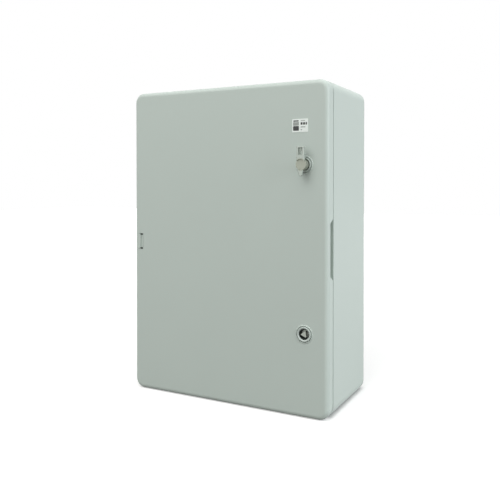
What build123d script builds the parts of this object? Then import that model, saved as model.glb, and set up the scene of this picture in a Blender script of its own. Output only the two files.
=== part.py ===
from build123d import *
import os

# Wall-mounting electrical enclosure of moulded plastic, in millimetres. +Z is up, the door
# faces -Y and +X is the viewer's right. The origin is the middle of the case's underside.

os.makedirs("parts", exist_ok=True)

# Case
case_width = 350
case_height = 500
case_depth = 180
corner_radius = 16
least_corner_radius = 1.5
back_edge_radius = 14
wall = 3.5
edge_break = 0.8

# Door
door_depth = 20
front_edge_radius = 7
inner_edge_radius = 2
door_inset = 0.3
seam_gap = 1.2

# Rim and sealing lip of the base
rim_depth = 5
lip_inset = 9
lip_thickness = 2.5

# Gasket and the two ribs of its channel
channel_inset = 7.5
gasket_width = 5.5
gasket_thickness = 6
gasket_side_gap = 0.1
channel_rib = 1.5
channel_rib_height = 8.5
seal_gap = 0.2

# Hinges on the left side
knuckle_radius = 4
knuckle_side_gap = 0.5
base_knuckle_length = 14
door_knuckle_length = 18
knuckle_end_gap = 0.4
hinge_inset = 80
pin_radius = 2
pin_fit = 0.05
pin_head_radius = 3.4
pin_head_height = 1.5

# Finger grip in the door's right edge
grip_length = 91
grip_width = 11.6
grip_bevel = 6.5
grip_depth = 5
grip_wall = 2
grip_end_wall = 3
grip_front_wall = 1.8

# Insert in the middle of the door's left edge
insert_height = 26
insert_front_reach = 17
insert_side_reach = 14
insert_thickness = 1.8
insert_gap = 0.5
pry_hole_radius = 1.5
pry_hole_inset = 3
pry_hole_depth = 1
peg_radius = 1.6
peg_length = 1.2
peg_inset = 5
peg_spacing = 14
peg_fit = 0.05

# Locks
lock_inset = 38
lock_end_distance = 125
collar_radius = 14
collar_height = 0.8
recess_radius = 12.2
recess_depth = 1.6
seal_thickness = 1
seal_edge_gap = 0.4
flange_radius = 11.1
flange_thickness = 2.5
flange_edge_round = 0.8
bezel_chamfer = 1.2
barrel_radius = 10
barrel_fit = 0.1
well_radius = 8.3
well_depth = 9
lock_pad_radius = 18
lock_pad_height = 2
nut_across_flats = 27
nut_thickness = 5
nut_edge = 0.8

# Rotor that lines the well, and the spindle with its triangular stud
rotor_fit = 0.05
rotor_wall = 0.75
rotor_floor = 2
rotor_below_flange = 1.5
stud_radius = 6
stud_edge_round = 0.8
stud_below_flange = 1.5
journal_radius = 5.45
journal_fit = 0.05
cam_square = 7
cam_square_fit = 0.1
lower_stud_turn = 8

# Cam and its screw
cam_thickness = 3
cam_hub_radius = 10
cam_tip_radius = 7
cam_tip_gap = 1.5
cam_rim_gap = 0.5
cam_end_gap = 0.3
cam_screw_radius = 2.5
cam_screw_fit = 0.05
cam_screw_length = 12
cam_washer_radius = 6.5
cam_washer_thickness = 1
cam_screw_across_flats = 8
cam_screw_head_height = 3.5

# Key
key_socket_radius = 6.9
key_socket_clearance = 0.3
key_hub_radius = 8
key_hub_length = 11.5
key_lock_gap = 0.3
key_wing_thickness = 4.5
key_wing_lead = 2
key_wing_edge = 0.6
key_upper_wing = 26.5
key_upper_wing_width = 12
key_lower_wing = 16.5
key_lower_wing_width = 9
key_lower_wing_tip = 4
key_wing_corner = 1.5
key_wing_end = 1.6
key_groove_radius = 3.2
key_groove_start = 14
key_hole_radius = 1.9
key_hole_height = 17.5

# Mounting plate, its bosses, inserts and screws
plate_width = 300
plate_height = 450
plate_thickness = 2
plate_corner_cut = 32
plate_hole_inset_x = 15
plate_hole_inset_z = 45
plate_hole_radius = 3.3
boss_radius = 8
boss_height = 12
threaded_insert_radius = 4
threaded_insert_length = 10
threaded_insert_fit = 0.05
plate_screw_radius = 3
plate_screw_length = 11
plate_screw_fit = 0.05
plate_screw_head_radius = 6
plate_screw_head_height = 3.6
plate_screw_cross = 6
plate_screw_slot = 1.3
plate_screw_recess_depth = 2

# Wall-fixing holes in the back
fixing_spacing_x = 300
fixing_spacing_z = 450
fixing_hole_radius = 4.25
fixing_pad_radius = 9
fixing_pad_height = 2

# Label
label_width = 25.5
label_height = 19.6
label_thickness = 0.3
label_corner_radius = 1
label_from_side = 44.8
label_from_top = 67

# Places worked out from the sizes
front_y = -case_depth / 2
back_y = case_depth / 2
mid_z = case_height / 2
side_x = case_width / 2
door_side_x = side_x - door_inset
door_back_y = front_y + door_depth
door_inner_y = front_y + wall
base_front_y = door_back_y + seam_gap
rim_back_y = base_front_y + rim_depth
rim_width = lip_inset + lip_thickness
gasket_back_y = door_inner_y + gasket_thickness
lip_end_y = gasket_back_y + seal_gap
floor_y = back_y - wall
hinge_x = -side_x - knuckle_side_gap - knuckle_radius
hinge_y = door_back_y + seam_gap / 2
hinge_heights = [hinge_inset, case_height - hinge_inset]
boss_front_y = floor_y - boss_height
plate_front_y = boss_front_y - plate_thickness
plate_hole_spacing_x = plate_width - 2 * plate_hole_inset_x
plate_hole_spacing_z = plate_height - 2 * plate_hole_inset_z
lock_x = side_x - lock_inset
lower_lock_z = lock_end_distance
upper_lock_z = case_height - lock_end_distance
recess_floor_y = front_y + recess_depth
flange_back_y = recess_floor_y - seal_thickness
flange_front_y = flange_back_y - flange_thickness
lock_pad_y = door_inner_y + lock_pad_height
well_floor_y = flange_front_y + well_depth
cam_front_y = rim_back_y + cam_rim_gap
cam_back_y = cam_front_y + cam_thickness
barrel_end_y = cam_front_y - cam_end_gap
cam_reach = lock_inset - wall - cam_tip_gap
rotor_floor_y = well_floor_y - rotor_floor
rotor_front_y = flange_front_y + rotor_below_flange
stud_end_y = flange_front_y + stud_below_flange


def facing_front(y, x=0, z=mid_z):
    """The plane at depth y that faces the front, with its origin at x and z."""
    return Plane(origin=(x, y, z), x_dir=(1, 0, 0), z_dir=(0, -1, 0))


def outline(inset, mode=Mode.ADD):
    """The case's rounded outline, that far in from its sides."""
    radius = max(corner_radius - inset, least_corner_radius)
    RectangleRounded(case_width - 2 * inset, case_height - 2 * inset, radius, mode=mode)


def knuckle(bottom_z, length, seam_y, wall_x, side):
    """A hinge knuckle with its gusset to the wall; side is 1 behind the seam and -1 before it."""
    reach = knuckle_radius + (wall_x - hinge_x)
    with BuildSketch(Plane.XY.offset(bottom_z)) as profile:
        with Locations((hinge_x, hinge_y)):
            Circle(knuckle_radius)
        with BuildLine():
            Polyline(
                (hinge_x, seam_y),
                (wall_x + wall / 2, seam_y),
                (wall_x + wall / 2, hinge_y + side * reach),
                (wall_x, hinge_y + side * reach),
                (hinge_x, hinge_y + side * knuckle_radius),
                close=True,
            )
        make_face()
    extrude(profile.sketch, amount=length)


def pin_bore(bottom_z, length):
    """The bore for a hinge pin through that stretch of knuckle."""
    with BuildSketch(Plane.XY.offset(bottom_z)) as profile:
        with Locations((hinge_x, hinge_y)):
            Circle(pin_radius + pin_fit)
    extrude(profile.sketch, amount=length, mode=Mode.SUBTRACT)


def edge_strip(front_reach, side_reach):
    """Section of a strip that lies just under the door's rounded left edge."""
    half = insert_thickness / 2
    with BuildLine() as path:
        FilletPolyline(
            (-door_side_x + front_reach, front_y + half),
            (-door_side_x + half, front_y + half),
            (-door_side_x + half, front_y + side_reach),
            radius=front_edge_radius - half,
        )
    trace(path.line, line_width=insert_thickness)


# Hollow of the base behind its rim, with the rounded back edge inside
with BuildPart() as base_hollow:
    with BuildSketch(facing_front(floor_y)):
        outline(wall)
    extrude(amount=floor_y - rim_back_y)
    fillet(base_hollow.faces().sort_by(Axis.Y)[-1].edges(), back_edge_radius - wall)

# Hollow of the door's tray, with a small round along its inner edge
with BuildPart() as door_hollow:
    with BuildSketch(facing_front(door_inner_y)):
        outline(door_inset + wall)
    extrude(amount=door_inner_y - door_back_y)
    fillet(door_hollow.faces().sort_by(Axis.Y)[0].edges(), inner_edge_radius)

# Base: a deep tray with plate bosses, fixing holes and hinge knuckles
with BuildPart() as base_shell:
    with BuildSketch(facing_front(back_y)):
        outline(0)
    extrude(amount=back_y - base_front_y)
    fillet(base_shell.faces().sort_by(Axis.Y)[-1].edges(), back_edge_radius)
    fillet(base_shell.faces().sort_by(Axis.Y)[0].edges(), edge_break)
    add(base_hollow.part, mode=Mode.SUBTRACT)
    with BuildSketch(facing_front(rim_back_y)):
        outline(wall)
    extrude(amount=rim_depth, mode=Mode.SUBTRACT)
    with Locations(facing_front(floor_y)):
        with GridLocations(plate_hole_spacing_x, plate_hole_spacing_z, 2, 2):
            Cylinder(boss_radius, boss_height, align=(Align.CENTER, Align.CENTER, Align.MIN))
        with GridLocations(fixing_spacing_x, fixing_spacing_z, 2, 2):
            Cylinder(fixing_pad_radius, fixing_pad_height, align=(Align.CENTER, Align.CENTER, Align.MIN))
    with Locations(facing_front(boss_front_y)):
        with GridLocations(plate_hole_spacing_x, plate_hole_spacing_z, 2, 2):
            Hole(threaded_insert_radius + threaded_insert_fit, depth=threaded_insert_length)
    with Locations(facing_front(floor_y - fixing_pad_height)):
        with GridLocations(fixing_spacing_x, fixing_spacing_z, 2, 2):
            Hole(fixing_hole_radius, depth=fixing_pad_height + wall)
    for height in hinge_heights:
        lower_z = height - door_knuckle_length / 2 - knuckle_end_gap - base_knuckle_length
        upper_z = height + door_knuckle_length / 2 + knuckle_end_gap
        for bottom_z in (lower_z, upper_z):
            knuckle(bottom_z, base_knuckle_length, base_front_y, -side_x, 1)
            pin_bore(bottom_z, base_knuckle_length)

# Rim and sealing lip, of one moulding with the base, kept apart so that collision follows them
with BuildPart() as base_rim:
    with BuildSketch(facing_front(rim_back_y)):
        outline(wall)
        outline(rim_width, Mode.SUBTRACT)
    extrude(amount=rim_depth)
    with BuildSketch(facing_front(base_front_y)):
        outline(lip_inset)
        outline(rim_width, Mode.SUBTRACT)
    extrude(amount=base_front_y - lip_end_y)

# Door: a shallow tray with a gasket channel, lock seats, a finger grip and hinge knuckles
with BuildPart() as door_shell:
    with BuildSketch(facing_front(door_back_y)):
        outline(door_inset)
    extrude(amount=door_depth)
    fillet(door_shell.faces().sort_by(Axis.Y)[0].edges(), front_edge_radius)
    fillet(door_shell.faces().sort_by(Axis.Y)[-1].edges(), edge_break)
    add(door_hollow.part, mode=Mode.SUBTRACT)
    with BuildSketch(facing_front(door_inner_y)):
        outline(channel_inset - channel_rib)
        outline(channel_inset, Mode.SUBTRACT)
    extrude(amount=-channel_rib_height)
    grip_front_y = door_back_y - grip_width
    grip_inner_x = door_side_x - grip_depth - grip_wall
    with BuildSketch(facing_front(door_back_y, 0)):
        with Locations(((door_side_x - wall / 2 + grip_inner_x) / 2, 0)):
            Rectangle(door_side_x - wall / 2 - grip_inner_x, grip_length + 2 * grip_end_wall)
    extrude(amount=door_depth - wall)
    with BuildSketch(Plane.YZ.offset(door_side_x)):
        with BuildLine():
            Polyline(
                (door_back_y, mid_z - grip_length / 2),
                (door_back_y, mid_z + grip_length / 2),
                (grip_front_y, mid_z + grip_length / 2 - grip_bevel),
                (grip_front_y, mid_z - grip_length / 2 + grip_bevel),
                close=True,
            )
        make_face()
    extrude(amount=-grip_depth, mode=Mode.SUBTRACT)
    for height in (lower_lock_z, upper_lock_z):
        with BuildSketch(facing_front(door_inner_y, lock_x, height)):
            Circle(lock_pad_radius)
        extrude(amount=-lock_pad_height)
        with BuildSketch(facing_front(front_y, lock_x, height)):
            Circle(collar_radius)
        extrude(amount=collar_height, taper=45)
        with Locations(facing_front(front_y - collar_height, lock_x, height)):
            CounterBoreHole(
                radius=barrel_radius + barrel_fit,
                counter_bore_radius=recess_radius,
                counter_bore_depth=recess_depth + collar_height,
                depth=collar_height + wall + lock_pad_height,
            )
    pocket_height = insert_height + 2 * insert_gap
    with BuildSketch(Plane.XY.offset(mid_z - pocket_height / 2)):
        edge_strip(insert_front_reach + insert_gap, insert_side_reach + insert_gap)
    extrude(amount=pocket_height, mode=Mode.SUBTRACT)
    pocket_y = front_y + insert_thickness
    with Locations(facing_front(pocket_y, -door_side_x + insert_front_reach - pry_hole_inset)):
        with GridLocations(0, insert_height, 1, 2):
            Hole(pry_hole_radius, depth=pry_hole_depth)
    with Locations(facing_front(pocket_y, -door_side_x + insert_front_reach - peg_inset)):
        with GridLocations(0, peg_spacing, 1, 2):
            Hole(peg_radius + peg_fit, depth=peg_length)
    for height in hinge_heights:
        bottom_z = height - door_knuckle_length / 2
        knuckle(bottom_z, door_knuckle_length, door_back_y, -door_side_x, -1)
        pin_bore(bottom_z, door_knuckle_length)

# Inner rib of the gasket channel, of one moulding with the door
with BuildPart() as door_rib:
    with BuildSketch(facing_front(door_inner_y)):
        outline(channel_inset + gasket_width)
        outline(channel_inset + gasket_width + channel_rib, Mode.SUBTRACT)
    extrude(amount=-channel_rib_height)

# Stretch of the door's edge with the finger grip, cut out of the door's own moulding
grip_zone_y = grip_front_y - grip_front_wall
with BuildPart() as grip_zone:
    with BuildSketch(facing_front(door_back_y, (grip_inner_x + side_x) / 2)):
        Rectangle(side_x - grip_inner_x, grip_length + 2 * grip_end_wall)
    extrude(amount=door_back_y - grip_zone_y)
with BuildPart() as door_grip:
    add(door_shell.part)
    add(grip_zone.part, mode=Mode.INTERSECT)
with door_shell:
    add(grip_zone.part, mode=Mode.SUBTRACT)

# Insert that closes the left edge, with two pry holes and two pegs
with BuildPart() as hinge_side_insert:
    with BuildSketch(Plane.XY.offset(mid_z - insert_height / 2)):
        edge_strip(insert_front_reach, insert_side_reach)
    extrude(amount=insert_height)
    with Locations(facing_front(front_y, -door_side_x + insert_front_reach - pry_hole_inset)):
        with GridLocations(0, insert_height, 1, 2):
            Hole(pry_hole_radius, depth=insert_thickness)
    with Locations(facing_front(pocket_y + peg_length, -door_side_x + insert_front_reach - peg_inset)):
        with GridLocations(0, peg_spacing, 1, 2):
            Cylinder(peg_radius, peg_length, align=(Align.CENTER, Align.CENTER, Align.MIN))

# Gasket in the door's channel
with BuildPart() as door_gasket:
    with BuildSketch(facing_front(gasket_back_y)):
        outline(channel_inset + gasket_side_gap)
        outline(channel_inset + gasket_width - gasket_side_gap, Mode.SUBTRACT)
    extrude(amount=gasket_thickness)

# Printed label at the door's upper right
with BuildPart() as door_label:
    with BuildSketch(facing_front(front_y, side_x - label_from_side, case_height - label_from_top)):
        RectangleRounded(label_width, label_height, label_corner_radius)
    extrude(amount=label_thickness)


def make_hinge_pin(height):
    """A headed steel pin through the three knuckles of one hinge."""
    top_z = height + door_knuckle_length / 2 + knuckle_end_gap + base_knuckle_length
    length = 2 * (top_z - height)
    with BuildPart() as pin:
        with BuildSketch(Plane.XY.offset(top_z)):
            with Locations((hinge_x, hinge_y)):
                Circle(pin_head_radius)
        extrude(amount=pin_head_height)
        fillet(pin.faces().sort_by(Axis.Z)[-1].edges(), pin_head_height / 2)
        with BuildSketch(Plane.XY.offset(top_z)):
            with Locations((hinge_x, hinge_y)):
                Circle(pin_radius)
        extrude(amount=-length)
        chamfer(pin.faces().sort_by(Axis.Z)[0].edges(), pin_radius / 4)
    return pin.part


def make_lock_housing(height):
    """Flange with a bevelled bezel, the barrel through the door, the well and the spindle's bore."""
    with BuildPart() as housing:
        with BuildSketch(facing_front(flange_back_y, lock_x, height)):
            Circle(flange_radius)
        extrude(amount=flange_thickness)
        fillet(housing.faces().sort_by(Axis.Y)[0].edges(), flange_edge_round)
        with BuildSketch(facing_front(flange_back_y, lock_x, height)):
            Circle(barrel_radius)
        extrude(amount=flange_back_y - barrel_end_y)
        with Locations(facing_front(flange_front_y, lock_x, height)):
            CounterBoreHole(
                radius=journal_radius + journal_fit,
                counter_bore_radius=well_radius,
                counter_bore_depth=well_depth,
                depth=barrel_end_y - flange_front_y,
            )
        chamfer(housing.faces().sort_by(Axis.Y)[0].inner_wires().edges(), bezel_chamfer)
    return housing.part


def make_lock_seal(height):
    """Rubber ring between the housing's flange and the door."""
    with BuildPart() as seal:
        with BuildSketch(facing_front(recess_floor_y, lock_x, height)):
            Circle(flange_radius - seal_edge_gap)
            Circle(barrel_radius + barrel_fit, mode=Mode.SUBTRACT)
        extrude(amount=seal_thickness)
    return seal.part


def make_lock_nut(height):
    """Hexagon nut that clamps the housing to the door from behind."""
    with BuildPart() as nut:
        with BuildSketch(facing_front(lock_pad_y, lock_x, height)):
            RegularPolygon(nut_across_flats / 2, 6, major_radius=False)
        extrude(amount=-nut_thickness)
        chamfer(nut.edges().filter_by(Axis.Y), nut_edge)
        with Locations(facing_front(lock_pad_y, lock_x, height)):
            Hole(barrel_radius + pin_fit, depth=nut_thickness)
    return nut.part


def make_lock_rotor(height):
    """Dark cup that turns in the well, with a bore in its floor for the spindle."""
    rotor_length = well_floor_y - rotor_front_y
    with BuildPart() as rotor:
        with BuildSketch(facing_front(well_floor_y, lock_x, height)):
            Circle(well_radius - rotor_fit)
        extrude(amount=rotor_length)
        with Locations(facing_front(rotor_front_y, lock_x, height)):
            CounterBoreHole(
                radius=journal_radius + journal_fit,
                counter_bore_radius=well_radius - rotor_fit - rotor_wall,
                counter_bore_depth=rotor_length - rotor_floor,
                depth=rotor_length,
            )
    return rotor.part


def make_lock_spindle(height, stud_turn):
    """Triangular stud, journal and the square that carries the cam."""
    with BuildPart() as spindle:
        with BuildSketch(facing_front(rotor_floor_y, lock_x, height)) as stud:
            RegularPolygon(stud_radius, 3, rotation=180 + stud_turn)
            fillet(stud.vertices(), stud_edge_round)
        extrude(amount=rotor_floor_y - stud_end_y)
        with BuildSketch(facing_front(rotor_floor_y, lock_x, height)):
            Circle(journal_radius)
        extrude(amount=rotor_floor_y - cam_front_y)
        with BuildSketch(facing_front(cam_front_y, lock_x, height)):
            Rectangle(cam_square, cam_square)
        extrude(amount=-cam_thickness)
        with Locations(facing_front(cam_back_y - cam_screw_length, lock_x, height)):
            Hole(cam_screw_radius + cam_screw_fit, depth=cam_screw_length)
    return spindle.part


def make_cam(height):
    """Steel cam on the spindle's square, hanging down when the lock is open."""
    with BuildPart() as cam:
        with BuildSketch(facing_front(cam_front_y, lock_x, height)):
            Circle(cam_hub_radius)
            with Locations((0, cam_tip_radius - cam_reach)):
                Circle(cam_tip_radius)
            make_hull()
            Rectangle(cam_square + 2 * cam_square_fit, cam_square + 2 * cam_square_fit, mode=Mode.SUBTRACT)
        extrude(amount=-cam_thickness)
    return cam.part


def make_cam_screw(height):
    """Hexagon screw with a fixed washer that holds the cam on the spindle."""
    with BuildPart() as screw:
        with BuildSketch(facing_front(cam_back_y, lock_x, height)):
            Circle(cam_washer_radius)
        extrude(amount=-cam_washer_thickness)
        with BuildSketch(facing_front(cam_back_y + cam_washer_thickness, lock_x, height)):
            RegularPolygon(cam_screw_across_flats / 2, 6, major_radius=False)
        extrude(amount=-cam_screw_head_height)
        with BuildSketch(facing_front(cam_back_y, lock_x, height)):
            Circle(cam_screw_radius)
        extrude(amount=cam_screw_length - cam_thickness)
    return screw.part


# Key in the upper lock: a hub with a triangular socket, a long grooved wing and a short one
key_back_y = rotor_floor_y - key_lock_gap
key_hub_y = flange_front_y - key_lock_gap
key_front_y = key_hub_y - key_hub_length
wing_front_y = key_front_y - key_wing_lead
with BuildPart() as upper_key:
    with BuildSketch(facing_front(wing_front_y + key_wing_thickness, lock_x, upper_lock_z)) as wings:
        with Locations((0, key_upper_wing / 2)):
            Rectangle(key_upper_wing_width, key_upper_wing)
        with BuildLine():
            Polyline(
                (-key_lower_wing_width / 2, 0),
                (key_lower_wing_width / 2, 0),
                (key_lower_wing_tip / 2, -key_lower_wing),
                (-key_lower_wing_tip / 2, -key_lower_wing),
                close=True,
            )
        make_face()
        fillet(wings.vertices().group_by(Axis.Y)[0] + wings.vertices().group_by(Axis.Y)[-1], key_wing_corner)
    extrude(amount=key_wing_thickness)
    fillet(upper_key.faces().sort_by(Axis.Y)[0].edges(), key_wing_edge)
    with BuildSketch(Plane.XY.offset(upper_lock_z + key_groove_start)):
        with Locations((lock_x, wing_front_y)):
            Circle(key_groove_radius)
    extrude(amount=key_upper_wing - key_wing_end - key_groove_start, mode=Mode.SUBTRACT)
    with Locations(facing_front(wing_front_y, lock_x, upper_lock_z + key_hole_height)):
        Hole(key_hole_radius, depth=key_wing_thickness)
    with BuildSketch(facing_front(wing_front_y, lock_x, upper_lock_z)):
        Circle(key_hub_radius)
    extrude(amount=-key_wing_lead, mode=Mode.SUBTRACT)
    with BuildSketch(facing_front(key_hub_y, lock_x, upper_lock_z)):
        Circle(key_hub_radius)
    extrude(amount=key_hub_length)
    with BuildSketch(facing_front(key_back_y, lock_x, upper_lock_z)):
        Circle(key_socket_radius)
    extrude(amount=key_back_y - key_hub_y)
    with BuildSketch(facing_front(key_back_y, lock_x, upper_lock_z)) as socket:
        RegularPolygon(stud_radius + 2 * key_socket_clearance, 3, rotation=180)
        fillet(socket.vertices(), stud_edge_round)
    extrude(amount=key_back_y - stud_end_y + key_socket_clearance, mode=Mode.SUBTRACT)

# Mounting plate with cut corners, on the base's bosses
with BuildPart() as mounting_plate:
    with BuildSketch(facing_front(boss_front_y)) as plate:
        Rectangle(plate_width, plate_height)
        chamfer(plate.vertices(), plate_corner_cut)
    extrude(amount=plate_thickness)
    with Locations(facing_front(plate_front_y)):
        with GridLocations(plate_hole_spacing_x, plate_hole_spacing_z, 2, 2):
            Hole(plate_hole_radius, depth=plate_thickness)

# Threaded brass inserts in the bosses
with BuildPart() as plate_inserts:
    with BuildSketch(facing_front(boss_front_y)):
        with GridLocations(plate_hole_spacing_x, plate_hole_spacing_z, 2, 2):
            Circle(threaded_insert_radius)
            Circle(plate_screw_radius + plate_screw_fit, mode=Mode.SUBTRACT)
    extrude(amount=-threaded_insert_length)

# Pan-head screws that hold the plate
with BuildPart() as plate_screws:
    with BuildSketch(facing_front(plate_front_y)):
        with GridLocations(plate_hole_spacing_x, plate_hole_spacing_z, 2, 2):
            Circle(plate_screw_head_radius)
    extrude(amount=plate_screw_head_height)
    fillet(plate_screws.faces().group_by(Axis.Y)[0].edges(), plate_screw_head_height / 3)
    with BuildSketch(facing_front(plate_front_y)):
        with GridLocations(plate_hole_spacing_x, plate_hole_spacing_z, 2, 2):
            Circle(plate_screw_radius)
    extrude(amount=-plate_screw_length)
    with BuildSketch(facing_front(plate_front_y - plate_screw_head_height)):
        with GridLocations(plate_hole_spacing_x, plate_hole_spacing_z, 2, 2):
            Rectangle(plate_screw_cross, plate_screw_slot)
            Rectangle(plate_screw_slot, plate_screw_cross)
    extrude(amount=-plate_screw_recess_depth, mode=Mode.SUBTRACT)

pieces = {
    "base_shell": base_shell.part,
    "base_rim": base_rim.part,
    "door_shell": door_shell.part,
    "door_rib": door_rib.part,
    "door_grip": door_grip.part,
    "hinge_side_insert": hinge_side_insert.part,
    "door_gasket": door_gasket.part,
    "door_label": door_label.part,
    "hinge_pin_lower": make_hinge_pin(hinge_heights[0]),
    "hinge_pin_upper": make_hinge_pin(hinge_heights[1]),
    "upper_key": upper_key.part,
    "mounting_plate": mounting_plate.part,
    "plate_inserts": plate_inserts.part,
    "plate_screws": plate_screws.part,
}
for place, height, stud_turn in (("lower", lower_lock_z, lower_stud_turn), ("upper", upper_lock_z, 0)):
    pieces[f"{place}_lock_housing"] = make_lock_housing(height)
    pieces[f"{place}_lock_seal"] = make_lock_seal(height)
    pieces[f"{place}_lock_nut"] = make_lock_nut(height)
    pieces[f"{place}_lock_rotor"] = make_lock_rotor(height)
    pieces[f"{place}_lock_spindle"] = make_lock_spindle(height, stud_turn)
    pieces[f"{place}_lock_cam"] = make_cam(height)
    pieces[f"{place}_cam_screw"] = make_cam_screw(height)

for name, piece in pieces.items():
    piece.label = name
    export_step(piece, f"parts/{name}.step")
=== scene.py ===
import bmesh
import bpy
import numpy as np
from bpy.props import FloatProperty, FloatVectorProperty, PointerProperty
from mathutils import Matrix, Vector


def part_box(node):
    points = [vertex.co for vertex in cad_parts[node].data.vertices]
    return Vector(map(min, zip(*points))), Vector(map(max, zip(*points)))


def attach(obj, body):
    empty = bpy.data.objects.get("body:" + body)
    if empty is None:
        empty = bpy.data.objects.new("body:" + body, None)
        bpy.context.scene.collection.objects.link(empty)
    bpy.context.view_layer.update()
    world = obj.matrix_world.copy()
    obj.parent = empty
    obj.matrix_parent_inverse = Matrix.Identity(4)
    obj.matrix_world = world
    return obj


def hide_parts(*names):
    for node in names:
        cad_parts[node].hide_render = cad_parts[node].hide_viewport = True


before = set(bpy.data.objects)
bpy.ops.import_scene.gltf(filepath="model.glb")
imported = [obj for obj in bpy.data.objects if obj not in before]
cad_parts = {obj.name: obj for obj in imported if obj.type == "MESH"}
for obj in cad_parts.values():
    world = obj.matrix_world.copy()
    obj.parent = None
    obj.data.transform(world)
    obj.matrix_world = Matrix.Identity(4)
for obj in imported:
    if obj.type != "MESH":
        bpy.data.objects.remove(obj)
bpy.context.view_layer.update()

# Moulded wall enclosure, in metres. +Z is up, the door faces -Y and +X is the viewer's right.
MM = 0.001

# Radius of the key's round hub, where its wings begin
HUB_RADIUS = 8 * MM
# Black of the rotors and the nuts, which also paints shade: the rotors' black partly paints the
# shade deep in the locks' wells, and the pry notches' floors are painted shade
BLACK_AND_PAINTED_SHADE = "#2A322D"
# Level of the studio's air on the object, and the point that the lamps are turned to
AIR_LEVEL = 0.46
LAMP_TARGET = (0, 0, 0.25)
# Each lamp's place, side in metres, power in watts and colour
SOFTBOXES = {
    "Right softbox": ((2.6, -0.1, 0.9), 1.4, 39, (0.91, 0.95, 1)),
    "Top softbox": ((0.3, -0.5, 2.6), 1.8, 14, (1, 1, 1)),
    "Front softbox": ((-0.6, -2.1, 2.3), 2.2, 45, (1, 1, 1)),
}

bl_info = {
    "name": "Moulded wall enclosure",
    "version": (1, 0, 0),
    "blender": (4, 5, 0),
    "location": "3D View > Sidebar > Enclosure",
    "description": "Finishes, seals, threads and label print for a moulded wall enclosure",
    "category": "Object",
}


def srgb(code):
    """Linear colour of an sRGB hex code: the sRGB curve undone, with alpha 1."""
    channels = [int(code[i:i + 2], 16) / 255 for i in (1, 3, 5)]
    return [c / 12.92 if c <= 0.04045 else ((c + 0.055) / 1.055) ** 2.4 for c in channels] + [1.0]


def node_box(name):
    """Lowest and highest corner of a CAD node, as arrays."""
    low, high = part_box(name)
    return np.array(low), np.array(high)


# Sizes and colours that a user would change

class EnclosureFinish(bpy.types.PropertyGroup):
    """Colours of the finishes."""

    case: FloatVectorProperty(
        name="Case", description="Moulded light grey plastic", subtype="COLOR", size=4,
        default=srgb("#C3CEC6"))
    lock: FloatVectorProperty(
        name="Lock", description="Grey flange of the locks", subtype="COLOR", size=4,
        default=srgb("#C6D0C9"))
    zinc: FloatVectorProperty(
        name="Zinc", description="Die-cast zinc of the locks' studs", subtype="COLOR", size=4,
        default=srgb("#A4AAA1"))
    key_hub: FloatVectorProperty(
        name="Key hub", description="Dull zinc of the key's hub", subtype="COLOR", size=4,
        default=srgb("#9A9E91"))
    # The wings' paler colour than the hub's is painted light, for the light that the wings catch
    key_wing: FloatVectorProperty(
        name="Key wings", description="Zinc of the key's wings, painted paler for the light they catch", subtype="COLOR", size=4,
        default=srgb("#A5ADA5"))
    film: FloatVectorProperty(
        name="Film", description="White film of the label", subtype="COLOR", size=4,
        default=srgb("#F2F9F3"))
    ink: FloatVectorProperty(
        name="Ink", description="Dark ink on the label", subtype="COLOR", size=4,
        default=srgb("#151816"))


class EnclosureSeal(bpy.types.PropertyGroup):
    """Sizes of the foamed gasket bead."""

    width: FloatProperty(
        name="Bead width", description="Width of the gasket bead across its channel",
        unit="LENGTH", default=5.3 * MM)
    corner: FloatProperty(
        name="Corner radius", description="Radius of the bead's centre line at a corner",
        unit="LENGTH", default=6 * MM)
    squareness: FloatProperty(
        name="Squareness",
        description="Exponent of the bead's section: 2 is round, more is squarer", default=3.2)


class EnclosureThread(bpy.types.PropertyGroup):
    """Sizes of the thread on the locks' barrels."""

    radius: FloatProperty(
        name="Barrel radius", description="Radius of the plain barrel", unit="LENGTH",
        default=10 * MM)
    pitch: FloatProperty(
        name="Pitch", description="Distance from crest to crest", unit="LENGTH",
        default=1.5 * MM)
    depth: FloatProperty(
        name="Depth", description="Height of a crest above the barrel", unit="LENGTH",
        default=0.45 * MM)


class EnclosureInsert(bpy.types.PropertyGroup):
    """Sizes of the insert in the door's hinge edge, along its section from its front end."""

    thickness: FloatProperty(
        name="Thickness", description="Wall of the insert", unit="LENGTH", default=1.8 * MM)
    round: FloatProperty(
        name="Edge round", description="Radius of the door's edge that it follows",
        unit="LENGTH", default=7 * MM)
    groove: FloatVectorProperty(
        name="Groove", description="Start, end and depth of the groove down its front",
        unit="LENGTH", size=3, default=(0.7 * MM, 5.0 * MM, 1.45 * MM))
    notch: FloatVectorProperty(
        name="Pry notches", description="Start, end, height and depth of the two pry notches",
        unit="LENGTH", size=4, default=(0.5 * MM, 6.2 * MM, 2.5 * MM, 1.6 * MM))


class EnclosurePrint(bpy.types.PropertyGroup):
    """Sizes of the printed fields on the label."""

    margin: FloatProperty(
        name="Margin", description="Bare film round the printed fields", unit="LENGTH",
        default=1.6 * MM)
    film: FloatProperty(
        name="Ink thickness", description="Height of a printed field above the film", unit="LENGTH",
        default=0.04 * MM)


class EnclosureStage(bpy.types.PropertyGroup):
    """Floor, light and camera."""

    lens: FloatProperty(
        name="Lens", description="Focal length that the photograph's perspective gives, in mm",
        unit="CAMERA", default=44.78)
    yaw: FloatProperty(
        name="Yaw", description="Turn of the camera about the upright, from looking along +Y",
        subtype="ANGLE", default=np.radians(27.7))
    pitch: FloatProperty(
        name="Pitch", description="Dip of the camera below level", subtype="ANGLE",
        default=np.radians(0.82))
    shift_x: FloatProperty(
        name="Shift sideways",
        description="Shift of the frame to the right, as a share of its width", default=-0.0012)
    shift_y: FloatProperty(
        name="Shift upwards",
        description="Shift of the frame upwards, as a share of its width", default=-0.1145)
    place: FloatVectorProperty(
        name="Camera place", description="Where the camera stands", subtype="TRANSLATION",
        size=3, default=(0.4921, -0.9362, 0.347))
    floor: FloatProperty(
        name="Floor size", description="Side of the square floor", unit="LENGTH", default=12.0)


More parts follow.
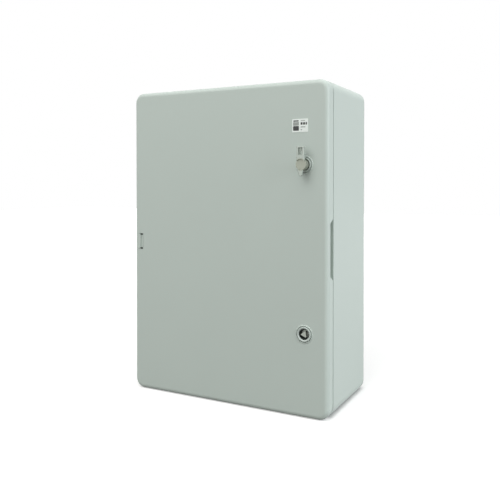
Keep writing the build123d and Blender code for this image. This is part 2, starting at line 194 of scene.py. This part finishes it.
GROUPS = {
    "enclosure_finish": EnclosureFinish,
    "enclosure_seal": EnclosureSeal,
    "enclosure_thread": EnclosureThread,
    "enclosure_insert": EnclosureInsert,
    "enclosure_print": EnclosurePrint,
    "enclosure_stage": EnclosureStage,
}


# Meshes

def grid_mesh(name, points, closed_u, closed_v):
    """Mesh of a grid of points, points[i, j] at the crossing of line i and line j. Each face joins
    four neighbours, and a closed direction joins its last line to its first."""
    rows, columns = points.shape[:2]
    i = np.arange(rows if closed_u else rows - 1)
    j = np.arange(columns if closed_v else columns - 1)
    i, j = (a.ravel() for a in np.meshgrid(i, j, indexing="ij"))
    after_i = (i + 1) % rows
    after_j = (j + 1) % columns
    row, next_row = i * columns, after_i * columns
    corners = [row + j, next_row + j, next_row + after_j, row + after_j]
    mesh = bpy.data.meshes.new(name)
    mesh.from_pydata(points.reshape(-1, 3).tolist(), [], np.stack(corners, axis=1).tolist())
    mesh.polygons.foreach_set("use_smooth", np.ones(len(mesh.polygons), dtype=bool))
    mesh.update()
    return mesh


def close_mesh(mesh):
    """Joins the points that lie on each other, which closes ends that are drawn in to a point or a
    line, and turns every face outwards."""
    shape = bmesh.new()
    shape.from_mesh(mesh)
    bmesh.ops.remove_doubles(shape, verts=shape.verts, dist=0.001 * MM)
    bmesh.ops.recalc_face_normals(shape, faces=shape.faces)
    shape.to_mesh(mesh)
    shape.free()


def add_piece(name, mesh, material, body):
    """Closes a mesh, links it to the scene, gives it its material and lets it ride on a body."""
    close_mesh(mesh)
    piece = bpy.data.objects.new(name, mesh)
    bpy.context.scene.collection.objects.link(piece)
    mesh.materials.append(material)
    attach(piece, body)
    return piece


def rounded_rectangle(half_width, half_height, radius, steps):
    """Points and outward normals round a rectangle with rounded corners, anticlockwise. A corner is
    its centre plus the radius times (cos a, sin a), with a running through a quarter turn."""
    quarter = np.linspace(0, np.pi / 2, steps)
    angles = np.concatenate([quarter + k * np.pi / 2 for k in range(4)])
    normals = np.stack([np.cos(angles), np.sin(angles)], axis=1)
    signs = np.repeat(np.array([[1, 1], [-1, 1], [-1, -1], [1, -1]]), steps, axis=0)
    centres = signs * np.array([half_width - radius, half_height - radius])
    return centres + radius * normals, normals


def foam_bead(name, low, high, width, corner, squareness, steps=10, around=28):
    """Bead round the door's channel: a superellipse |x/a|^n + |y/b|^n = 1 carried along a rounded
    rectangle, where a is half the bead's width and b half its thickness."""
    mid = (low + high) / 2
    half = (high - low) / 2
    path, normals = rounded_rectangle(half[0] - width / 2, half[2] - width / 2, corner, steps)
    turn = np.linspace(0, 2 * np.pi, around, endpoint=False)
    power = 2 / squareness
    across = np.sign(np.cos(turn)) * np.abs(np.cos(turn)) ** power * width / 2
    along = np.sign(np.sin(turn)) * np.abs(np.sin(turn)) ** power * half[1]
    points = np.empty((len(path), around, 3))
    points[:, :, 0] = mid[0] + path[:, None, 0] + normals[:, None, 0] * across
    points[:, :, 1] = mid[1] + along
    points[:, :, 2] = mid[2] + path[:, None, 1] + normals[:, None, 1] * across
    return grid_mesh(name, points, True, True)


def thread_sleeve(name, centre, start, end, radius, pitch, depth, around=48, per_pitch=8):
    """Thread on a barrel along Y. Its radius at angle a and place y is the barrel's radius plus the
    depth times a rounded wave of (y / pitch - a / full turn). It fades out at both ends to a little
    less than the barrel's radius, and an inner tube inside the barrel closes it."""
    fullness = 0.7  # power of the wave, below 1 for broad crests
    end_sink = 0.1  # share of the depth by which the faded ends lie in the barrel
    turn = np.linspace(0, 2 * np.pi, around, endpoint=False)[:, None]
    places = np.linspace(start, end, int((end - start) / pitch * per_pitch))[None, :]
    wave = 0.5 + 0.5 * np.cos(2 * np.pi * places / pitch - turn)
    fade = np.clip(np.minimum(places - start, end - places) / pitch, 0, 1)
    outer = radius + depth * (wave ** fullness * fade - end_sink * (1 - fade))
    inner = np.full_like(outer, radius - depth)
    spread = np.concatenate([outer, inner[:, ::-1]], axis=1)
    depths = np.concatenate([places, places[:, ::-1]], axis=1) + np.zeros_like(spread)
    points = np.stack(
        [centre[0] + spread * np.cos(turn), depths, centre[2] + spread * np.sin(turn)], axis=2)
    return grid_mesh(name, points, True, True)


def step_lines(edges, end, spacing):
    """Grid lines from 0 to end at that spacing, with a close pair at each edge for a steep wall."""
    half_gap = 0.04 * MM
    pairs = np.concatenate([np.array(edges) - half_gap, np.array(edges) + half_gap])
    return np.unique(np.concatenate([np.linspace(0, end, int(end / spacing) + 2), pairs]))


def notched_strip(name, low, high, sizes, along_step=0.7 * MM, up_step=1.0 * MM):
    """Insert round the door's left edge. Its section is a line along the front, a quarter circle
    and a line along the side, carried up its height. The face is sunk by the groove's depth between
    the notches, by the notches' depth at both ends and a little along its margin, and a parallel
    face lies behind it. The faces in the notches' floors get the second material."""
    margin, margin_sink = 0.3 * MM, 0.2 * MM
    bend, wall = sizes.round, sizes.thickness
    groove_start, groove_end, groove_depth = sizes.groove
    notch_start, notch_end, notch_height, notch_depth = sizes.notch
    height = high[2] - low[2]
    front = high[0] - low[0] - bend
    arc = bend * np.pi / 2
    length = front + arc + high[1] - low[1] - bend
    along = step_lines(
        [groove_start, groove_end, notch_start, notch_end, margin], length, along_step)
    up = step_lines(
        [notch_height, height - notch_height, margin, height - margin], height, up_step)
    angle = np.clip(along - front, 0, arc) / bend
    normals = np.stack([-np.sin(angle), -np.cos(angle)], axis=1)
    places = np.array([low[0] + bend, low[1] + bend]) + bend * normals
    places[:, 0] += np.clip(front - along, 0, None)
    places[:, 1] += np.clip(along - front - arc, 0, None)
    at_end = (up < notch_height) | (up > height - notch_height)
    in_groove = (along > groove_start) & (along < groove_end)
    in_notch = (along > notch_start) & (along < notch_end)
    from_edge = np.minimum(np.minimum(up, height - up)[:, None], np.minimum(along, length - along))
    sink = np.where(from_edge < margin, margin_sink, 0.0)
    sink = np.maximum(sink, groove_depth * (in_groove & ~at_end[:, None]))
    sink = np.maximum(sink, notch_depth * (in_notch & at_end[:, None]))
    face = places - sink[:, :, None] * normals
    back = np.broadcast_to(places - wall * normals, face.shape)
    middle = (face + back) / 2
    ring = np.concatenate([face, back[:, ::-1]], axis=1)
    ends = np.concatenate([middle, middle[:, ::-1]], axis=1)
    ring = np.concatenate([ends[:1], ring, ends[-1:]])
    levels = low[2] + np.concatenate([up[:1], up, up[-1:]])
    levels = np.broadcast_to(levels[:, None, None], ring.shape[:2] + (1,))
    mesh = grid_mesh(name, np.concatenate([ring, levels], axis=2), False, True)
    floor = np.zeros((len(up) + 1, 2 * len(along)), dtype=int)
    floor[1:-1, :len(along) - 1] = (
        (at_end[1:] & at_end[:-1])[:, None] & (in_notch[1:] & in_notch[:-1]))
    mesh.polygons.foreach_set("material_index", floor.ravel())
    return mesh


def printed_field(name, centre, size, radius, front_y, thickness, steps=5):
    """Thin field of ink: a rounded rectangle in the door's plane, drawn in to its middle at both
    ends, so that rings at radius 0, 1, 1 and 0 of its outline make a closed plate."""
    outline, _ = rounded_rectangle(size[0] / 2, size[1] / 2, radius, steps)
    scales = np.array([0, 1, 1, 0])
    depths = np.array([0, 0, 1, 1]) * thickness
    points = np.empty((4, len(outline), 3))
    points[:, :, 0] = centre[0] + scales[:, None] * outline[None, :, 0]
    points[:, :, 1] = front_y - depths[:, None]
    points[:, :, 2] = centre[1] + scales[:, None] * outline[None, :, 1]
    mesh = grid_mesh(name, points, False, True)
    mesh.polygons.foreach_set("use_smooth", np.zeros(len(mesh.polygons), dtype=bool))
    return mesh


# Materials

def add_node(tree, kind, settings=None, links=None):
    """Adds a node, sets its sockets by name or number and its attributes by name, and links sources
    to its sockets."""
    node = tree.nodes.new(kind)
    for name, value in (settings or {}).items():
        if isinstance(name, int) or name in node.inputs:
            node.inputs[name].default_value = value
        else:
            setattr(node, name, value)
    for name, source in (links or {}).items():
        tree.links.new(source, node.inputs[name])
    return node


def start_material(name, colour, roughness, metallic=0.0, ior=1.5):
    """A material with a plain shader, its tree and the object's own coordinates."""
    material = bpy.data.materials.new(name)
    material.use_nodes = True
    material.diffuse_color = colour
    tree = material.node_tree
    shader = tree.nodes["Principled BSDF"]
    shader.inputs["Base Color"].default_value = colour
    shader.inputs["Roughness"].default_value = roughness
    shader.inputs["Metallic"].default_value = metallic
    shader.inputs["IOR"].default_value = ior
    coordinates = add_node(tree, "ShaderNodeTexCoord")
    return material, tree, shader, coordinates.outputs["Object"]


def tint(tree, shader, factor, first, second):
    """Runs the base colour between two colours by a pattern's factor."""
    # The mix node's colours are its sockets 6 and 7, and its output 2
    mix = add_node(tree, "ShaderNodeMix", {"data_type": "RGBA", 6: first, 7: second}, {0: factor})
    tree.links.new(mix.outputs[2], shader.inputs["Base Color"])


def relief(tree, shader, height, depth):
    """Gives the surface a relief of that depth, in metres, from a pattern's height."""
    bump = add_node(
        tree, "ShaderNodeBump", {"Strength": 1.0, "Distance": depth}, {"Height": height})
    tree.links.new(bump.outputs["Normal"], shader.inputs["Normal"])


def scaled(colour, share):
    """A colour made lighter or darker by a share."""
    return [channel * share for channel in colour[:3]] + [1.0]


def per(size):
    """Scale of a pattern whose marks are that many millimetres apart."""
    return 1 / (size * MM)


def moulded_polyester(colour):
    """Hot-pressed glass-fibre polyester, light grey. The tool's fine spark-eroded grain makes it
    matt with a wide soft sheen, and the resin's flow leaves very slight clouds."""
    material, tree, shader, place = start_material("Moulded polyester", colour, 0.46, ior=1.54)
    clouds = add_node(
        tree, "ShaderNodeTexNoise", {"Scale": per(110), "Detail": 2.0}, {"Vector": place})
    tint(tree, shader, clouds.outputs["Fac"], scaled(colour, 0.985), scaled(colour, 1.015))
    # Real grain is about 0.3 mm; it is drawn at 1.2 mm so that it shows at this size
    grain = add_node(
        tree, "ShaderNodeTexNoise", {"Scale": per(1.2), "Detail": 3.0}, {"Vector": place})
    relief(tree, shader, grain.outputs["Fac"], 0.02 * MM)
    return material


def moulded_polyamide(name, colour, roughness):
    """Injection-moulded polyamide: satin, with a faint mottle of its glass fill. Real fibres are
    about 0.3 mm long; the mottle is drawn at 2 mm so that it shows."""
    material, tree, shader, place = start_material(name, colour, roughness, ior=1.53)
    mottle = add_node(
        tree, "ShaderNodeTexNoise", {"Scale": per(2), "Detail": 4.0}, {"Vector": place})
    tint(tree, shader, mottle.outputs["Fac"], scaled(colour, 0.95), scaled(colour, 1.05))
    relief(tree, shader, mottle.outputs["Fac"], 0.015 * MM)
    return material


def cast_zinc(colour):
    """Die-cast zinc under a dull grey passivation: little metal sheen, and a faint orange peel of
    1.5 mm from the die."""
    material, tree, shader, place = start_material("Die-cast zinc", colour, 0.5, metallic=0.5)
    peel = add_node(
        tree, "ShaderNodeTexNoise", {"Scale": per(1.5), "Detail": 3.0}, {"Vector": place})
    tint(tree, shader, peel.outputs["Fac"], scaled(colour, 0.92), scaled(colour, 1.04))
    relief(tree, shader, peel.outputs["Fac"], 0.03 * MM)
    return material


def key_zinc_with_lit_wings(hub_colour, wing_colour, centre, hub_radius):
    """Die-cast zinc under a dull grey passivation. The wings are painted paler than the hub for the
    light that they catch, so the colour runs with the distance from the key's axis, over the first
    2 mm beyond the hub. A faint orange peel of 1.5 mm is left from the die."""
    material, tree, shader, place = start_material("Key zinc with painted wing light", hub_colour, 0.5, metallic=0.55)
    flat = add_node(
        tree, "ShaderNodeMapping",
        {"vector_type": "POINT", "Location": (-centre[0], 0, -centre[2]), "Scale": (1, 0, 1)},
        {"Vector": place})
    reach = add_node(
        tree, "ShaderNodeVectorMath", {"operation": "LENGTH"}, {"Vector": flat.outputs[0]})
    # Painted light: the colour runs from the hub's to the paler wings' with the distance from the
    # axis
    wing_light = add_node(
        tree, "ShaderNodeMapRange", {"From Min": hub_radius, "From Max": hub_radius + 2 * MM},
        {"Value": reach.outputs["Value"]})
    tint(tree, shader, wing_light.outputs[0], hub_colour, wing_colour)
    peel = add_node(
        tree, "ShaderNodeTexNoise", {"Scale": per(1.5), "Detail": 3.0}, {"Vector": place})
    relief(tree, shader, peel.outputs["Fac"], 0.03 * MM)
    return material


def plated_steel():
    """Bright zinc-plated steel: smooth bluish metal with fine turning marks. Real marks are about
    0.1 mm apart; they are drawn at 1 mm so that they show."""
    colour = srgb("#C3C8CC")
    material, tree, shader, place = start_material("Zinc-plated steel", colour, 0.24, metallic=1.0)
    marks = add_node(
        tree, "ShaderNodeTexNoise", {"Scale": per(1), "Detail": 2.0}, {"Vector": place})
    tint(tree, shader, marks.outputs["Fac"], scaled(colour, 0.93), scaled(colour, 1.0))
    relief(tree, shader, marks.outputs["Fac"], 0.01 * MM)
    return material


def galvanised_sheet():
    """Hot-dip galvanised sheet: spangles of about 6 mm, each with its own grey and gloss."""
    colour = srgb("#AEB4B6")
    material, tree, shader, place = start_material("Galvanised sheet", colour, 0.4, metallic=1.0)
    spangle = add_node(tree, "ShaderNodeTexVoronoi", {"Scale": per(6)}, {"Vector": place})
    grey = add_node(tree, "ShaderNodeSeparateColor", {}, {"Color": spangle.outputs["Color"]})
    tint(tree, shader, grey.outputs[0], scaled(colour, 0.9), scaled(colour, 1.06))
    gloss = add_node(
        tree, "ShaderNodeMapRange", {"To Min": 0.36, "To Max": 0.48}, {"Value": grey.outputs[1]})
    tree.links.new(gloss.outputs[0], shader.inputs["Roughness"])
    relief(tree, shader, spangle.outputs["Distance"], 0.02 * MM)
    return material


def turned_brass():
    """Turned brass: warm metal with fine rings from the tool. Real rings are about 0.2 mm apart;
    they are drawn at 2 mm so that they show."""
    colour = srgb("#C9A85A")
    material, tree, shader, place = start_material("Turned brass", colour, 0.3, metallic=1.0)
    rings = add_node(
        tree, "ShaderNodeTexWave", {"Scale": per(2), "Distortion": 0.4}, {"Vector": place})
    relief(tree, shader, rings.outputs["Fac"], 0.01 * MM)
    return material


def moulded_rubber():
    """Moulded nitrile rubber: black, dull, with a dusty bloom in patches of about 4 mm."""
    colour = srgb("#1D1E1D")
    material, tree, shader, place = start_material("Nitrile rubber", colour, 0.72, ior=1.52)
    bloom = add_node(
        tree, "ShaderNodeTexNoise", {"Scale": per(4), "Detail": 5.0}, {"Vector": place})
    tint(tree, shader, bloom.outputs["Fac"], scaled(colour, 0.8), scaled(colour, 1.5))
    return material


def foamed_polyurethane():
    """Polyurethane foamed in place: dark grey skin with fine closed cells of about 0.6 mm."""
    colour = srgb("#3C3E40")
    material, tree, shader, place = start_material("Foamed polyurethane", colour, 0.82, ior=1.5)
    cells = add_node(tree, "ShaderNodeTexVoronoi", {"Scale": per(0.6)}, {"Vector": place})
    tint(tree, shader, cells.outputs["Distance"], scaled(colour, 0.8), scaled(colour, 1.25))
    relief(tree, shader, cells.outputs["Distance"], 0.06 * MM)
    return material


def label_film(name, colour, roughness):
    """Printed polyester film: satin and even, with the least sign of roller texture. Real texture
    is about 0.2 mm wide; it is drawn at 0.9 mm so that it shows."""
    material, tree, shader, place = start_material(name, colour, roughness, ior=1.57)
    roller = add_node(
        tree, "ShaderNodeTexNoise", {"Scale": per(0.9), "Detail": 2.0}, {"Vector": place})
    tint(tree, shader, roller.outputs["Fac"], scaled(colour, 0.97), scaled(colour, 1.03))
    return material


def dress(nodes, material):
    """Puts a material into every slot of those CAD nodes."""
    for name in nodes:
        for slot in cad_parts[name].material_slots:
            slot.material = material


def pair(ending):
    """Names of the lower and upper node that end this way."""
    return [f"{place}_{ending}" for place in ("lower", "upper")]


# Operators, one for each piece or group of like pieces

class ENCLOSURE_OT_shells(bpy.types.Operator):
    """Finish the base, the door and the insert of the hinge side"""

    bl_idname = "enclosure.shells"
    bl_label = "Finish the shells"

    def execute(self, context):
        colour = list(context.scene.enclosure_finish.case)
        plastic = moulded_polyester(colour)
        dress(["base_shell", "base_rim", "door_shell", "door_rib", "door_grip"], plastic)
        low, high = node_box("hinge_side_insert")
        mesh = notched_strip("edge_insert", low, high, context.scene.enclosure_insert)
        insert = add_piece("edge_insert", mesh, plastic, "door")
        # Its steps are crisp and its bend is smooth
        mesh.set_sharp_from_angle(angle=np.radians(35))
        # The floors of its pry notches get a dark second material: painted shade deep in the
        # notches
        mesh.materials.append(moulded_polyamide("Painted notch shade", srgb(BLACK_AND_PAINTED_SHADE), 0.6))
        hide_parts("hinge_side_insert")
        return {"FINISHED"}


class ENCLOSURE_OT_locks(bpy.types.Operator):
    """Finish the locks and the key, and cut the thread on the locks' barrels"""

    bl_idname = "enclosure.locks"
    bl_label = "Finish the locks"

    def execute(self, context):
        finish = context.scene.enclosure_finish
        thread = context.scene.enclosure_thread
        flange = moulded_polyamide("Grey polyamide", list(finish.lock), 0.34)
        # The rotors' black partly paints the shade deep in the locks' wells; the nuts are plain
        # black
        black = moulded_polyamide("Black polyamide with painted well shade", srgb(BLACK_AND_PAINTED_SHADE), 0.5)
        zinc = cast_zinc(list(finish.zinc))
        steel = plated_steel()
        dress(pair("lock_housing"), flange)
        dress(pair("lock_rotor") + pair("lock_nut"), black)
        dress(pair("lock_spindle"), zinc)
        low, high = node_box("upper_lock_rotor")
        # The key's wings are painted paler than its hub, for the light that they catch
        dress(["upper_key"], key_zinc_with_lit_wings(
            list(finish.key_hub), list(finish.key_wing), (low + high) / 2, HUB_RADIUS))
        dress(pair("lock_cam") + pair("cam_screw"), steel)
        dress(pair("lock_seal"), moulded_rubber())
        for place in ("lower", "upper"):
            low, high = node_box(f"{place}_lock_housing")
            nut_back = node_box(f"{place}_lock_nut")[1][1]
            mesh = thread_sleeve(
                f"{place}_lock_thread", (low + high) / 2, nut_back, high[1] - thread.depth,
                thread.radius, thread.pitch, thread.depth)
            add_piece(f"{place}_lock_thread", mesh, flange, "door")
        return {"FINISHED"}


class ENCLOSURE_OT_gasket(bpy.types.Operator):
    """Make the foamed gasket bead in the door's channel"""

    bl_idname = "enclosure.gasket"
    bl_label = "Make the gasket"

    def execute(self, context):
        seal = context.scene.enclosure_seal
        low, high = node_box("door_gasket")
        mesh = foam_bead("gasket_bead", low, high, seal.width, seal.corner, seal.squareness)
        bead = add_piece("gasket_bead", mesh, foamed_polyurethane(), "door")
        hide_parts("door_gasket")
        return {"FINISHED"}


class ENCLOSURE_OT_metalwork(bpy.types.Operator):
    """Finish the hinge pins, the mounting plate, its screws and its inserts"""

    bl_idname = "enclosure.metalwork"
    bl_label = "Finish the metalwork"

    def execute(self, context):
        dress(["hinge_pin_lower", "hinge_pin_upper", "plate_screws"], plated_steel())
        dress(["mounting_plate"], galvanised_sheet())
        dress(["plate_inserts"], turned_brass())
        return {"FINISHED"}


class ENCLOSURE_OT_label(bpy.types.Operator):
    """Finish the label and print its generic fields"""

    bl_idname = "enclosure.label"
    bl_label = "Print the label"

    def execute(self, context):
        finish = context.scene.enclosure_finish
        sizes = context.scene.enclosure_print
        ink = list(finish.ink)
        dress(["door_label"], label_film("White label film", list(finish.film), 0.4))
        dark = label_film("Dark label ink", ink, 0.45)
        pale = label_film("Pale label ink", srgb("#9AA09B"), 0.45)
        low, high = node_box("door_label")
        inner_low = low + sizes.margin
        inner_size = high - low - 2 * sizes.margin
        # Each field: name, ink, and its left, right, bottom and top as shares of the printed area
        fields = [
            ("label_head_bar", dark, (0.02, 0.40, 0.86, 0.97)),
            ("label_grey_field", pale, (0.0, 0.42, 0.5, 0.82)),
            ("label_dark_field", dark, (0.0, 0.42, 0.04, 0.46)),
            ("label_upper_line", pale, (0.54, 0.86, 0.89, 0.95)),
            ("label_band_left", dark, (0.54, 0.68, 0.56, 0.78)),
            ("label_band_middle", dark, (0.72, 0.86, 0.56, 0.78)),
            ("label_band_right", dark, (0.90, 0.99, 0.56, 0.78)),
            ("label_lower_line", pale, (0.54, 0.88, 0.32, 0.40)),
            ("label_mark", pale, (0.54, 0.64, 0.06, 0.15)),
        ]
        for name, material, (left, right, bottom, top) in fields:
            centre = (
                inner_low[0] + inner_size[0] * (left + right) / 2,
                inner_low[2] + inner_size[2] * (bottom + top) / 2)
            size = (inner_size[0] * (right - left), inner_size[2] * (top - bottom))
            corner = 0.15 * min(size)
            mesh = printed_field(name, centre, size, corner, low[1], sizes.film)
            add_piece(name, mesh, material, "door")
        return {"FINISHED"}


def seen_rays(tree):
    """1 for the rays that show the surroundings: camera, reflected and transmitted ones."""
    path = add_node(tree, "ShaderNodeLightPath")
    either = add_node(
        tree, "ShaderNodeMath", {"operation": "MAXIMUM"},
        {0: path.outputs["Is Camera Ray"], 1: path.outputs["Is Glossy Ray"]})
    seen = add_node(
        tree, "ShaderNodeMath", {"operation": "MAXIMUM"},
        {0: either.outputs[0], 1: path.outputs["Is Transmission Ray"]})
    return seen.outputs[0]


def reach_beside(tree, place, middle, half):
    """Distance of a place from a rectangle: the length of what is left of its distance from the
    rectangle's middle along each axis, less half the rectangle's size, where that is above 0."""
    none = np.zeros(3)
    steps = [("SUBTRACT", middle), ("ABSOLUTE", none), ("SUBTRACT", half), ("MAXIMUM", none)]
    for operation, amount in steps:
        step = add_node(
            tree, "ShaderNodeVectorMath", {"operation": operation, 1: amount.tolist()}, {0: place})
        place = step.outputs[0]
    reach = add_node(tree, "ShaderNodeVectorMath", {"operation": "LENGTH"}, {"Vector": place})
    return reach.outputs["Value"]


def make_floor(size):
    """Floor that the eye sees as white with the object's shadow on it. It glows a little for the
    camera and in reflections, more so far out, where it meets the white air, and it is greyer for
    other rays, so that it throws little light up. Its glow falls almost to nothing where the case
    stands, which paints a darker contact shadow below the case's round edge."""
    near, far = 0.5, 3.0
    contact_shadow_glow, near_glow, far_glow = 0.0165, 0.33, 1.0
    contact_shadow_margin, contact_shadow_fade = 7 * MM, 8 * MM
    material = bpy.data.materials.new("White floor")
    material.use_nodes = True
    tree = material.node_tree
    shader = tree.nodes["Principled BSDF"]
    shader.inputs["Roughness"].default_value = 0.8
    seen = seen_rays(tree)
    tint(tree, shader, seen, srgb("#545452"), srgb("#F2F2F0"))
    place = add_node(tree, "ShaderNodeTexCoord").outputs["Object"]
    reach = add_node(tree, "ShaderNodeVectorMath", {"operation": "LENGTH"}, {"Vector": place})
    outer_glow = add_node(
        tree, "ShaderNodeMapRange",
        {"From Min": near, "From Max": far, "To Min": near_glow, "To Max": far_glow},
        {"Value": reach.outputs["Value"]})
    # Painted contact shadow: the glow fades to almost nothing at the case's foot
    low, high = node_box("base_shell")
    level = np.array([1, 1, 0])
    beside = reach_beside(
        tree, place, (low + high) / 2 * level, ((high - low) / 2 - contact_shadow_margin) * level)
    glow = add_node(
        tree, "ShaderNodeMapRange", {"From Max": contact_shadow_fade, "To Min": contact_shadow_glow},
        {"Value": beside, "To Max": outer_glow.outputs[0]})
    strength = add_node(
        tree, "ShaderNodeMath", {"operation": "MULTIPLY"}, {0: glow.outputs[0], 1: seen})
    shader.inputs["Emission Color"].default_value = srgb("#FFFFFF")
    tree.links.new(strength.outputs[0], shader.inputs["Emission Strength"])
    half = size / 2
    mesh = bpy.data.meshes.new("floor")
    corners = [(-half, -half, 0), (half, -half, 0), (half, half, 0), (-half, half, 0)]
    mesh.from_pydata(corners, [], [(0, 1, 2, 3)])
    mesh.materials.append(material)
    floor = bpy.data.objects.new("floor", mesh)
    bpy.context.scene.collection.objects.link(floor)


def make_world(strength):
    """Pale studio air: an even light on the object, and white where the camera looks past it."""
    world = bpy.data.worlds.new("Studio")
    bpy.context.scene.world = world
    world.use_nodes = True
    tree = world.node_tree
    background = tree.nodes["Background"]
    background.inputs["Color"].default_value = srgb("#FFFFFF")
    level = add_node(
        tree, "ShaderNodeMapRange", {"To Min": strength, "To Max": 1.0}, {"Value": seen_rays(tree)})
    tree.links.new(level.outputs[0], background.inputs["Strength"])


def add_softbox(name, place, size, power, colour):
    """A square lamp of a colour at a place, turned to the lamps' target."""
    lamp = bpy.data.lights.new(name, "AREA")
    lamp.shape = "SQUARE"
    lamp.size = size
    lamp.energy = power
    lamp.color = colour
    softbox = bpy.data.objects.new(name, lamp)
    bpy.context.scene.collection.objects.link(softbox)
    softbox.location = place
    direction = Vector(LAMP_TARGET) - Vector(place)
    softbox.rotation_euler = direction.to_track_quat("-Z", "Y").to_euler()


class ENCLOSURE_OT_stage(bpy.types.Operator):
    """Set the floor, the light and the camera"""

    bl_idname = "enclosure.stage"
    bl_label = "Set the stage"

    def execute(self, context):
        stage = context.scene.enclosure_stage
        make_floor(stage.floor)
        make_world(AIR_LEVEL)
        for name, (place, size, power, colour) in SOFTBOXES.items():
            add_softbox(name, place, size, power, colour)
        camera_data = bpy.data.cameras.new("Camera")
        camera_data.lens = stage.lens
        camera_data.shift_x = stage.shift_x
        camera_data.shift_y = stage.shift_y
        camera = bpy.data.objects.new("Camera", camera_data)
        context.scene.collection.objects.link(camera)
        dip = Matrix.Rotation(np.pi / 2 - stage.pitch, 4, "X")
        turn = Matrix.Rotation(stage.yaw, 4, "Z") @ dip
        camera.matrix_world = Matrix.Translation(stage.place) @ turn
        context.scene.camera = camera
        context.scene.view_settings.view_transform = "Standard"
        return {"FINISHED"}


OPERATORS = [
    ENCLOSURE_OT_shells,
    ENCLOSURE_OT_locks,
    ENCLOSURE_OT_gasket,
    ENCLOSURE_OT_metalwork,
    ENCLOSURE_OT_label,
    ENCLOSURE_OT_stage,
]


class ENCLOSURE_PT_panel(bpy.types.Panel):
    """Lists the operators and the sizes"""

    bl_label = "Moulded wall enclosure"
    bl_idname = "ENCLOSURE_PT_panel"
    bl_space_type = "VIEW_3D"
    bl_region_type = "UI"
    bl_category = "Enclosure"

    def draw(self, context):
        for operator in OPERATORS:
            self.layout.operator(operator.bl_idname)
        for name, group in GROUPS.items():
            box = self.layout.box()
            for field in group.__annotations__:
                box.prop(getattr(context.scene, name), field)


def register():
    """Registers the groups of sizes, the operators and the panel."""
    for name, group in GROUPS.items():
        bpy.utils.register_class(group)
        setattr(bpy.types.Scene, name, PointerProperty(type=group))
    for operator in OPERATORS:
        bpy.utils.register_class(operator)
    bpy.utils.register_class(ENCLOSURE_PT_panel)


def unregister():
    """Takes out what register put in, last things first."""
    bpy.utils.unregister_class(ENCLOSURE_PT_panel)
    for operator in reversed(OPERATORS):
        bpy.utils.unregister_class(operator)
    for name, group in reversed(GROUPS.items()):
        delattr(bpy.types.Scene, name)
        bpy.utils.unregister_class(group)


def main():
    """Registers the add-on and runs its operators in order."""
    register()
    bpy.ops.enclosure.shells()
    bpy.ops.enclosure.locks()
    bpy.ops.enclosure.gasket()
    bpy.ops.enclosure.metalwork()
    bpy.ops.enclosure.label()
    bpy.ops.enclosure.stage()


if __name__ == "__main__":
    main()
